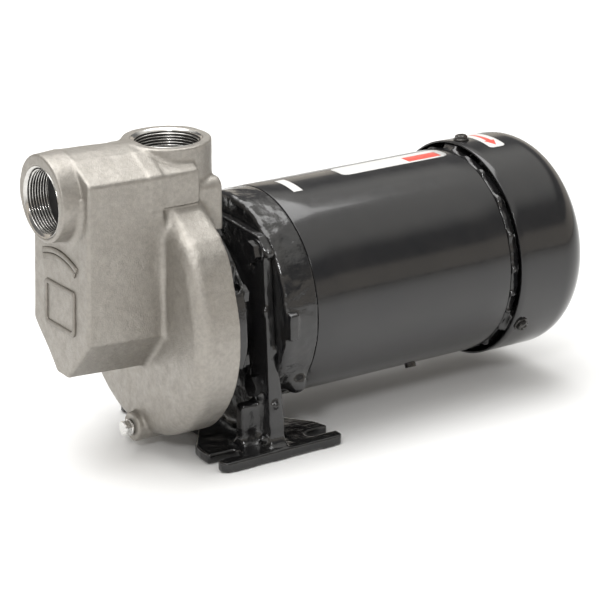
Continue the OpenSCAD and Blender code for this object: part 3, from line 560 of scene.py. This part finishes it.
# ---------------------------------------------------------------- machined threads of the two ports
def thread_sleeve(name, mouth, axis_x, run=19.0):
    """Bright sleeve with a chamfer and a helical pipe thread, its mouth at the origin and its depth along +x."""
    pitch, amp, seg = 2.209, 1.05, 120
    depth = [0.0, 0.9, 1.8] + [1.8 + pitch * k / 8 for k in range(1, int((run - 1.8) / pitch * 8))] + [run]
    verts, faces = [], []
    for s in range(seg):
        a = TAU * s / seg
        for d in depth:
            phase = (d / pitch - s / seg) % 1.0
            crest = abs(2 * phase - 1) * 2 - 1
            fade = min(1.0, max(0.0, (d - 1.8) / 0.5)) * min(1.0, (run - d) / 0.5)
            r = PORT_R + 2.5 - min(d, 1.8) / 1.8 * 1.8 if d < 1.8 else PORT_R + 0.15 + fade * amp * max(-0.8, min(0.8, crest))
            verts.append((d, r * math.sin(a), r * math.cos(a)))
        for d, r in ((run, 25.0), (2.6, 25.0), (2.6, 26.15), (0.0, 26.15)):
            verts.append((d, r * math.sin(a), r * math.cos(a)))
    n = len(depth) + 4
    for s in range(seg):
        t = (s + 1) % seg
        for k in range(n):
            j = (k + 1) % n
            faces.append((s * n + k, s * n + j, t * n + j, t * n + k))
    v = np.array(verts)
    if not axis_x:
        v = np.stack([v[:, 2], v[:, 1], -v[:, 0]], -1)
    ob = mesh_object(name, v + np.array(mouth), np.array(faces))
    # the roots of the thread get a dark material: painted shade, standing in for the dark reflection bands between the
    # bright crests
    painted_shade_flags = [1 if 1.8 < np.mean([verts[i][0] for i in f]) < run and
            max(math.hypot(verts[i][1], verts[i][2]) for i in f) > PORT_R + 0.45 and
            min(math.hypot(verts[i][1], verts[i][2]) for i in f) < 24.8 else 0 for f in faces]
    ob.data.polygons.foreach_set("material_index", painted_shade_flags)
    return ob


# ---------------------------------------------------------------- bracket, bells
def bracket_shape(step):
    x_lo, x_hi = span("bracket", 0)
    f = Field((x_lo - 4, -FOOT_W / 2 - 4, -4), (x_hi + 4, FOOT_W / 2 + 4, SHAFT_Z + 80), step)
    x, y, z = f.x, f.y, f.z
    rel = z - SHAFT_Z
    ring = rod_x(f, RING_X0 + 0.8, RING_X1, RING_R, 1.5)
    neck = rod_x(f, RING_X1 - 2, -6, 42.0)
    side = np.abs(y)
    outline = [(-72, -98), (72, -98), (61, 57), (54, 64), (8, 67), (-8, 67), (-54, 64), (-61, 57)]
    plate2 = rounded(y, rel, outline, 3.0)
    thick = 4.3 * np.clip((-32 - rel) / 26, 0, 1) ** 0.7
    plate = meet(plate2, np.maximum(-8 - x, x - thick), 1.6)
    half, edge = FOOT_L / 2, FOOT_W / 2
    corner = [(-30, 6), (-30, -5), (-half + 2, -edge + 44), (-half, -edge + 34), (-half, -edge + 4),
              (-half + 4, -edge), (half - 3, -edge), (half, -edge + 3), (half, -edge + 22),
              (half - 4, -edge + 34), (half - 18, -edge + 56), (28, 6)]
    foot2 = polygon(x, -side, corner)
    foot = meet(foot2 + 0.0 * z, slab(z, -6, 8), 1.8)
    body = join(plate, foot, 9.0)
    body = join(body, join(ring, neck, 8.0), 6.0)
    web = box(f, (-24, 47, 2), (-4, 57, 40), 2.0)
    web = np.minimum(web, box(f, (-24, -57, 2), (-4, -47, 40), 2.0))
    body = join(body, web, 8.0)
    # stray lumps of the sand casting on the plate's edge and face
    for bx, by, bz, br in ((-3, -62, 52, 3.5), (-7.6, -63, 8, 2.6), (0.5, -66, -22, 2.4), (-8, -48, 38, 3.0),
                           (-8.5, -57, -58, 3.2), (-3, -71, -64, 2.4), (-12, -66, -90, 3.0), (6, -60, -88, 2.8)):
        lump = np.sqrt((x - bx) ** 2 + (y - by) ** 2 + (rel - bz) ** 2) - br
        body = join(body, lump, 4.0)
    body = body + 0.30 * f.noise(11, 11) + 0.16 * f.noise(4.0, 12)
    body = np.maximum(body, -z)
    slot_in = half - 24 + 6
    for s in (-1, 1):
        end = length2(x - s * slot_in, side - 62) - 6.0
        channel = np.maximum(np.abs(side - 62) - 6.0, (slot_in - s * x))
        body = cut(body, np.minimum(end, channel), 1.5)
    hole = rod_x(f, RING_X1 - 2, 5, 30.0)
    hole = join(hole, rod_x(f, RING_X0 - 2, RING_X1 + 1, 11.0))
    hole = join(hole, rod_x(f, RING_X0 - 6, RING_X1 - 12, 22.0))
    hole = join(hole, box(f, (-26, -9, SHAFT_Z - 50), (-12, 9, SHAFT_Z - 20)))
    body = np.maximum(body, -hole)
    return surface(f, np.maximum(body, x - 4.6 - 100 * (z < 9)), "bracket_body")


def front_bell_shape(step):
    f = Field((-4, -MOTOR_R - 6, SHAFT_Z - MOTOR_R - 6), (SHELL_X0 + 4, MOTOR_R + 6, SHAFT_Z + MOTOR_R + 6), step)
    x, y, z = f.x, f.y, f.z
    rel = z - SHAFT_Z
    rim = rod_x(f, 0.0, SHELL_X0 + 10, MOTOR_R - 0.05, 4.5)
    # the sand skin is coarse on the rim and fades toward the shell
    fade = np.clip((SHELL_X0 - x) / 6, 0, 1)
    rim = rim + fade * (0.42 * f.noise(5.0, 21) + 0.20 * f.noise(3.2, 22))
    pad = box(f, (1.5, -MOTOR_R - 2.6, SHAFT_Z - 11), (9.5, -MOTOR_R + 6, SHAFT_Z + 9), 1.2)
    rim = join(rim, pad + 0.2 * f.noise(3.5, 23), 2.0)
    patch = np.sqrt(((x - 19) / 8.5) ** 2 + ((y + 62) / 11) ** 2 + ((rel + 51) / 10) ** 2) - 1
    rim = join(rim, patch * 8.0, 4.0)
    rim = np.maximum(rim, x - SHELL_X0 + 0.05)
    bore = rod_x(f, 8, SHELL_X0 + 10, MOTOR_R - 9)
    bore = join(bore, rod_x(f, -6, 12, 20.0))
    return surface(f, np.maximum(rim, -bore), "front_bell_body")


def rear_bell_shape(step):
    x0 = SHELL_X1
    f = Field((x0 - 3, -MOTOR_R - 8, SHAFT_Z - MOTOR_R - 8), (x0 + 24, MOTOR_R + 8, SHAFT_Z + MOTOR_R + 8), step)
    x, y, z = f.x, f.y, f.z
    rel = z - SHAFT_Z
    radius = length2(y, rel)
    turn = np.arctan2(y, rel)
    disc = rod_x(f, x0 + 0.2, x0 + 8, MOTOR_R - 0.8, 1.5)
    hub = rod_x(f, x0 + 2, x0 + 17, 30.0, 2.0)
    body = join(disc, hub, 12.0)
    # short castellations on the rim, no two quite alike
    for k in range(22):
        a = math.radians(k * 360 / 22 + 5 * math.sin(7.3 * k))
        tall = 1.3 + 0.9 * math.sin(3.1 * k) ** 2
        wide = 4.0 + 2.0 * math.sin(5.7 * k + 1)
        v = y * math.cos(a) - rel * math.sin(a)
        w = y * math.sin(a) + rel * math.cos(a)
        tooth = np.sqrt(((x - x0 - 3.0) / 3.2) ** 2 + (v / wide) ** 2 + ((w - MOTOR_R + 1.5) / (1.6 + tall)) ** 2) - 1
        body = join(body, tooth * 2.0, 1.6)
    for a in SCREW_AT:
        a = math.radians(a)
        v = y * math.cos(a) - rel * math.sin(a)
        w = y * math.sin(a) + rel * math.cos(a)
        lug = np.maximum(np.maximum(np.abs(v) - 8, np.abs(w - MOTOR_R + 2.6) - 5.0), slab(x, x0 + 5, x0 + 20))
        body = join(body, lug, 3.0)
    body = body + 0.25 * f.noise(4.0, 31) + 0.15 * f.noise(2.8, 32)
    body = np.maximum(body, x0 + 0.15 - x)
    body = np.maximum(body, -rod_x(f, x0 - 4, x0 + 30, 9.6))
    return surface(f, body, "rear_bell_body")


# ---------------------------------------------------------------- rolled shell and spun fan shroud
def shell_profile():
    a, b, r, t = SHELL_X0, SHELL_X1, MOTOR_R, 3.0
    out = arc(a + 0.4, r - 0.4, 0.4, 180, 90, 3)
    out += [(a + (b - a) * k / 8, r) for k in range(1, 8)]
    out += arc(b - 1.2, r - 1.2, 1.2, 90, 0, 5)
    out += [(b, r - t), (a, r - t)]
    return out


SHROUD_T = 1.6
DOME_R = 28.0
VENT_N = 16


def shroud_outer():
    """Outside of the shroud from its front lip to the flat rear disc, as (x, r)."""
    pts = [(SHROUD_X0 + 0.4, SHROUD_R - 0.3), (SHROUD_X0 + 0.9, SHROUD_R)]
    pts += [(SHROUD_X0 + 6 * k, SHROUD_R) for k in range(1, 8)]
    pts += arc(SHROUD_X1 - DOME_R, SHROUD_R - DOME_R, DOME_R, 90, 0, 26)
    return pts


def shroud_mesh():
    """Spun steel shroud: lathe wall, and a rear disc pierced by radial air slots with parallel sides."""
    outer = shroud_outer()
    inner = [(x, max(r - SHROUD_T, 0)) for x, r in outer[:9]]
    inner += arc(SHROUD_X1 - DOME_R, SHROUD_R - DOME_R, DOME_R - SHROUD_T, 84, 0, 24)
    per = 12
    seg = VENT_N * per
    slot_half = 2.5
    rings = [SHROUD_R - DOME_R, 50.0, 41.0, 32.0, 23.0, 14.0, 6.0]

    def angles(r):
        """Angles round the disc at radius r, two in each sector lying on the sides of a slot."""
        w = math.asin(slot_half / r) if r > 11 else 0.5 * TAU / VENT_N / per * 2
        sector = TAU / VENT_N
        local = [-w, -w / 2, 0, w / 2, w] + [w + (sector - 2 * w) * k / (per - 4) for k in range(1, per - 4)]
        return [i * sector + v for i in range(VENT_N) for v in local[:per]]

    verts, faces = [], []

    def ring(x, r, at):
        base = len(verts)
        verts.extend((x, r * math.sin(a), SHAFT_Z + r * math.cos(a)) for a in at)
        return base

    def skin(b0, b1, flip, skip=lambda s: False):
        for s in range(seg):
            t = (s + 1) % seg
            if skip(s):
                continue
            q = (b0 + s, b1 + s, b1 + t, b0 + t)
            faces.append(q[::-1] if flip else q)

    disc_at = angles(rings[0])
    sides = []
    for wall, x_disc, flip in ((outer, SHROUD_X1, False), (inner, SHROUD_X1 - SHROUD_T, True)):
        bases = [ring(x, r, disc_at) for x, r in wall]
        for a, b in zip(bases, bases[1:]):
            skin(a, b, flip)
        slot_rings = []
        last = bases[-1]
        for k, r in enumerate(rings[1:], 1):
            now = ring(x_disc, r, angles(r))
            in_slot = 2 <= k <= 5
            skin(last, now, flip, (lambda s: s % per < 4) if in_slot else (lambda s: False))
            slot_rings.append(now)
            last = now
        centre = len(verts)
        verts.append((x_disc, 0, SHAFT_Z))
        for s in range(seg):
            q = (last + s, centre, last + (s + 1) % seg)
            faces.append(q[::-1] if flip else q)
        sides.append((bases, slot_rings))
    skin(sides[0][0][0], sides[1][0][0], True)
    for i in range(VENT_N):
        for k in range(0, 4):
            for edge, flip in ((0, False), (4, True)):
                s = i * per + edge
                o0, o1 = sides[0][1][k] + s, sides[0][1][k + 1] + s
                n0, n1 = sides[1][1][k] + s, sides[1][1][k + 1] + s
                q = (o0, o1, n1, n0)
                faces.append(q[::-1] if flip else q)
        for k, flip in ((0, True), (4, False)):
            for e in range(4):
                s = i * per + e
                q = (sides[0][1][k] + s, sides[0][1][k] + s + 1, sides[1][1][k] + s + 1, sides[1][1][k] + s)
                faces.append(q[::-1] if flip else q)
    return mesh_object("fan_shroud_body", verts, np.array(faces, dtype=object))


# ---------------------------------------------------------------- small hardware
def bevel(ob, width, segments=2, angle=30):
    m = ob.modifiers.new("edges", "BEVEL")
    m.width = width * MM
    m.segments = segments
    m.limit_method = "ANGLE"
    m.angle_limit = math.radians(angle)
    m.harden_normals = True


def hex_head(bm, centre, out, across, height, washer, slot=False, turn=0.0):
    """Chamfered hexagon head on a washer flange, standing along out from centre, all in millimetres."""
    out = Vector(out).normalized()
    frame_m = out.to_track_quat("Z", "Y").to_matrix()
    c = Vector(centre)
    r_hex = across / math.sqrt(3)

    def at(r, a, h):
        return (c + frame_m @ Vector((r * math.cos(a), r * math.sin(a), h))) * MM

    sides = 24
    rows = []
    profile = [(washer, 0.0), (washer, 1.0), (washer - 0.4, 1.4), (None, 1.4), (None, height - 0.9), ("top", height)]
    for r, h in profile:
        row = []
        for k in range(sides):
            a = turn + TAU * k / sides
            local = (a - turn) % (TAU / 6) - TAU / 12
            flat = across / 2 / math.cos(local)
            if r is None:
                rad = flat
            elif r == "top":
                rad = min(flat, across / 2) - 0.5
            else:
                rad = max(r, 0.1)
            row.append(bm.verts.new(at(rad, a, h)))
        rows.append(row)
    for lower, upper in zip(rows, rows[1:]):
        for k in range(sides):
            j = (k + 1) % sides
            bm.faces.new((lower[k], lower[j], upper[j], upper[k]))
    bm.faces.new(rows[0][::-1])
    if not slot:
        bm.faces.new(rows[-1])
        return
    w, deep, r_in = 0.7, 1.3, across / 2 - 1.6
    inner = [bm.verts.new(at(r_in, turn + TAU * k / sides, height)) for k in range(sides)]
    pit = [bm.verts.new(at(r_in - 0.3, turn + TAU * k / sides, height - 0.7)) for k in range(sides)]
    for k in range(sides):
        j = (k + 1) % sides
        bm.faces.new((rows[-1][k], rows[-1][j], inner[j], inner[k]))
        bm.faces.new((inner[k], inner[j], pit[j], pit[k]))
    bm.faces.new(pit)


def bm_object(name, bm, smooth=False):
    me = bpy.data.meshes.new(name)
    bmesh.ops.recalc_face_normals(bm, faces=bm.faces)
    bm.to_mesh(me)
    bm.free()
    if smooth:
        me.shade_smooth()
    ob = bpy.data.objects.new(name, me)
    bpy.context.scene.collection.objects.link(ob)
    return ob


def outward(a_deg):
    a = math.radians(a_deg)
    return 0.0, math.sin(a), math.cos(a)


SCREW_X = SHROUD_X0 + 10
SCREW_AT = (5, -121, 125)


def shroud_screw_set():
    bm = bmesh.new()
    for a in SCREW_AT:
        o = outward(a)
        hex_head(bm, (SCREW_X, o[1] * SHROUD_R, SHAFT_Z + o[2] * SHROUD_R), o, 8.6, 4.2, 6.2, slot=True, turn=0.3)
    return bm_object("shroud_screw_set", bm)


def drain_plug_body():
    """Hexagon pipe plug: bevelled head, short neck and a run of thread into its boss."""
    x1 = span("drain_plug", 0)[1]
    x0 = span("drain_plug", 0)[0]
    bm = bmesh.new()
    hex_head(bm, (x0 + 6.4, 0, DRAIN_Z), (-1, 0, 0), 11.4, 6.2, 6.4, turn=0.35)
    ob = bm_object("drain_plug_body", bm)
    bevel(ob, 0.35)
    pts = [(x0 + 6.3, 0.0), (x0 + 6.3, 4.6)]
    run, pitch = x1 - x0 - 6.5, 1.4
    n = int(run / pitch)
    for k in range(n):
        base = x0 + 6.6 + k * pitch
        pts += [(base, 4.6), (base + pitch / 2, 5.25)]
    pts += [(x1, 4.6), (x1, 0.0)]
    shank = lathe_x("drain_plug_thread", pts, 40, z=DRAIN_Z)
    return ob, shank


# ---------------------------------------------------------------- printed labels, without any words
def bent(name, x0, x1, a0, a1, radius, thick, corner=0.0):
    """Sheet bent round the motor from x0 to x1 and from angle a0 to a1, degrees from straight up toward +Y."""
    na = max(4, int(abs(a1 - a0) / 1.0))
    arc_mm = math.radians(a1 - a0) * radius
    nx = 12
    verts, faces = [], []
    for layer, r in enumerate((radius, radius + thick)):
        for i in range(nx + 1):
            for j in range(na + 1):
                u, v = i / nx, j / na
                px, pa = x0 + (x1 - x0) * u, a0 + (a1 - a0) * v
                if corner:
                    du = min(u, 1 - u) * (x1 - x0)
                    dv = min(v, 1 - v) * arc_mm
                    if dv < corner:
                        pull = corner - math.sqrt(max(corner**2 - (corner - dv) ** 2, 0))
                        span_x = (x1 - x0) / 2
                        centre_x = (x0 + x1) / 2
                        px = centre_x + (px - centre_x) * (span_x - pull) / span_x
                a = math.radians(pa)
                verts.append((px, r * math.sin(a), SHAFT_Z + r * math.cos(a)))
    m = (nx + 1) * (na + 1)

    def at(i, j):
        return i * (na + 1) + j

    for i in range(nx):
        for j in range(na):
            q = (at(i, j), at(i + 1, j), at(i + 1, j + 1), at(i, j + 1))
            faces.append(tuple(v + m for v in q))
            faces.append(q[::-1])
    rim = [at(i, 0) for i in range(nx)] + [at(nx, j) for j in range(na)]
    rim += [at(i, na) for i in range(nx, 0, -1)] + [at(0, j) for j in range(na, 0, -1)]
    for p, q in zip(rim, rim[1:] + rim[:1]):
        faces.append((p, q, q + m, p + m))
    return mesh_object(name, verts, np.array(faces), smooth=True)


def arrow_print(name, x_c, outline, radius):
    """Printed arrow that follows the shroud's curve. outline lists (angle, half width in mm) from tail to tip."""
    verts, faces = [], []
    for (a0, w0), (a1, w1) in zip(outline, outline[1:]):
        n = max(1, int(abs(a1 - a0)))
        for k in range(n + 1):
            a = math.radians(a0 + (a1 - a0) * k / n)
            w = w0 + (w1 - w0) * k / n
            for x in (x_c - w, x_c + w):
                verts.append((x, radius * math.sin(a), SHAFT_Z + radius * math.cos(a)))
            if k:
                b = len(verts) - 4
                faces.append((b, b + 1, b + 3, b + 2))
    return mesh_object(name, verts, np.array(faces), smooth=True)


# ---------------------------------------------------------------- build everything
STEP = 1.0

finish_piece(casing_shape(STEP), "cast", replaces=["casing"])
finish_piece(nameplate_border(), "cast")
finish_piece(crescent_pad(), "cast")
for name, mouth, axis_x in (("suction_thread", (SUCTION_X, 0, SUCTION_Z), True),
                            ("discharge_thread", (DISCHARGE_X, 0, DISCHARGE_Z), False)):
    sleeve = thread_sleeve(name, mouth, axis_x)
    painted_shade_faces = [p.material_index for p in sleeve.data.polygons]
    finish_piece(sleeve, "thread")
    # the dark root faces are painted shade, not a stain on the metal
    sleeve.data.materials.append(M["thread_root_painted_shade"])
    sleeve.data.polygons.foreach_set("material_index", painted_shade_faces)
finish_piece(bracket_shape(STEP), "rough_enamel", replaces=["bracket"])
finish_piece(front_bell_shape(STEP), "rough_enamel", replaces=["front_bell"])
finish_piece(rear_bell_shape(STEP), "rough_enamel", replaces=["rear_bell"])
shell = lathe_x("motor_shell_body", shell_profile()[::-1], 200)
finish_piece(shell, "enamel", replaces=["motor_shell"])
finish_piece(shroud_mesh(), "enamel", replaces=["fan_shroud"])
finish_piece(shroud_screw_set(), "dark_screw", replaces=["shroud_screws"])
plug_head, plug_thread = drain_plug_body()
finish_piece(plug_head, "bright", replaces=["drain_plug"])
finish_piece(plug_thread, "bright")

label_r = MOTOR_R + 0.05
x0, x1 = span("strip_label", 0)
finish_piece(bent("strip_label_film", x0, x1, -13, 6, label_r, 0.25), "label", replaces=["strip_label"])
x0, x1 = span("long_label", 0)
finish_piece(bent("long_label_film", x0, x1, -6, 9, label_r, 0.25, corner=5), "label", replaces=["long_label"])
finish_piece(bent("long_label_block", x1 - 37, x1 - 6, -4.4, 3, label_r + 0.27, 0.05), "red")
x0, x1 = span("arrow_label", 0)
finish_piece(bent("arrow_label_film", x0, x1, -13, 15, SHROUD_R + 0.05, 0.25, corner=3), "label", replaces=["arrow_label"])
finish_piece(arrow_print("arrow_print", (x0 + x1) / 2, [(12, 1.0), (2, 1.8), (-4.5, 2.4), (-4.5, 4.8), (-10.5, 0.3)],
                         SHROUD_R + 0.36), "red")

KEPT = {
    "bright": ["shaft", "seal_spring", "flap_hinge_pin", "front_outer_race", "front_inner_race",
               "front_balls", "rear_outer_race", "rear_inner_race", "rear_balls", "wave_washer"],
    "rough_enamel": ["motor_bolts", "casing_bolts"],
    "cast": ["impeller"],
    "brass": ["ejector_nozzle", "ejector_venturi", "wear_ring", "front_cage", "rear_cage"],
    "rubber": ["suction_flap", "seal_head", "seal_cup", "casing_gasket", "slinger", "front_shaft_seal",
               "conduit_gasket"],
    "ceramic": ["seal_seat"],
    "iron": ["rotor_core", "stator_core"],
    "copper": ["stator_windings"],
    "plastic": ["fan"],
    "enamel": ["conduit_box", "conduit_cover"],
    "dark_screw": ["through_bolts", "conduit_screws", "shell_plug"],
}
for mat, names in KEPT.items():
    for n in names:
        ob = frame["nodes"][n]
        ob.data.materials.clear()
        ob.data.materials.append(M[mat])
for n in ("casing_bolts", "motor_bolts", "conduit_box", "conduit_cover", "shell_plug"):
    bevel(frame["nodes"][n], 0.5)


# ---------------------------------------------------------------- studio
def plane(name, size, z, mat):
    s = size / 2
    me = bpy.data.meshes.new(name)
    me.from_pydata([(-s, -s, z), (s, -s, z), (s, s, z), (-s, s, z)], [], [(0, 1, 2, 3)])
    ob = bpy.data.objects.new(name, me)
    ob.data.materials.append(mat)
    bpy.context.scene.collection.objects.link(ob)
    return ob


plane("studio_floor", 80, -0.0006, material("floor_paper", (0.86, 0.86, 0.86), 0.85, 0.0, [(3.0, 0.01, 2.0)],
                                            ((0.87, 0.87, 0.87), 40.0, 0.5), 0.03, spec=0.1))


def area_light(name, at, target, size, power, colour=(1, 1, 1)):
    data = bpy.data.lights.new(name, "AREA")
    data.shape = "RECTANGLE"
    data.size, data.size_y = size
    data.energy = power
    data.color = colour
    ob = bpy.data.objects.new(name, data)
    ob.location = at
    ob.rotation_mode = "QUATERNION"
    ob.rotation_quaternion = (Vector(target) - Vector(at)).to_track_quat("-Z", "Y")
    bpy.context.scene.collection.objects.link(ob)
    return ob


area_light("top_soft", (-0.1, 0.25, 1.9), (0.05, 0, 0.1), (2.4, 1.6), 42)
area_light("key", (-1.5, -1.6, 1.5), (0, 0, 0.12), (0.35, 0.35), 16)

world = bpy.data.worlds.new("studio")
bpy.context.scene.world = world
world.use_nodes = True
wt = world.node_tree
wt.nodes.clear()
coord = wt.nodes.new("ShaderNodeTexCoord")
split = wt.nodes.new("ShaderNodeSeparateXYZ")
bands = wt.nodes.new("ShaderNodeValToRGB")
back = wt.nodes.new("ShaderNodeBackground")
world_out = wt.nodes.new("ShaderNodeOutputWorld")
half_map = wt.nodes.new("ShaderNodeMapRange")
half_map.inputs["From Min"].default_value = -1.0
wt.links.new(coord.outputs["Generated"], split.inputs[0])
wt.links.new(split.outputs["Z"], half_map.inputs["Value"])
wt.links.new(half_map.outputs["Result"], bands.inputs["Fac"])
wt.links.new(bands.outputs["Color"], back.inputs["Color"])
wt.links.new(back.outputs[0], world_out.inputs[0])
STOPS = [(-1.0, (1.0, 1.0, 1.02)), (-0.05, (1.0, 1.0, 1.02)), (-0.03, (0.10, 0.10, 0.10)), (0.0, (0.10, 0.10, 0.10)),
         (0.03, (0.80, 0.74, 0.66)), (0.26, (0.80, 0.74, 0.66)), (0.33, (0.22, 0.22, 0.22)), (0.56, (0.22, 0.22, 0.22)),
         (0.70, (1.0, 0.99, 0.95)), (1.0, (1.15, 1.14, 1.10))]
ramp = bands.color_ramp
while len(ramp.elements) < len(STOPS):
    ramp.elements.new(0.5)
for el, (h, c) in zip(ramp.elements, STOPS):
    el.position = (h + 1) / 2
    el.color = (*c, 1)

# camera where the photograph was taken from, aimed at the middle of the pump
AZIMUTH, ELEVATION, DISTANCE = math.radians(-33.87), math.radians(19.36), 2.0115
AIM = Vector((0.0656, 0.0, 0.0897))
away = Vector((math.sin(AZIMUTH) * math.cos(ELEVATION), -math.cos(AZIMUTH) * math.cos(ELEVATION), math.sin(ELEVATION)))
cam_data = bpy.data.cameras.new("camera")
cam_data.lens = 156.96
cam_data.sensor_width = 36.0
cam = bpy.data.objects.new("camera", cam_data)
cam.location = AIM + away * DISTANCE
cam.rotation_mode = "QUATERNION"
cam.rotation_quaternion = (-away).to_track_quat("-Z", "Y")
cam_data.clip_start, cam_data.clip_end = 0.05, 200
bpy.context.scene.collection.objects.link(cam)
bpy.context.scene.camera = cam
bpy.context.scene.view_settings.view_transform = "Standard"
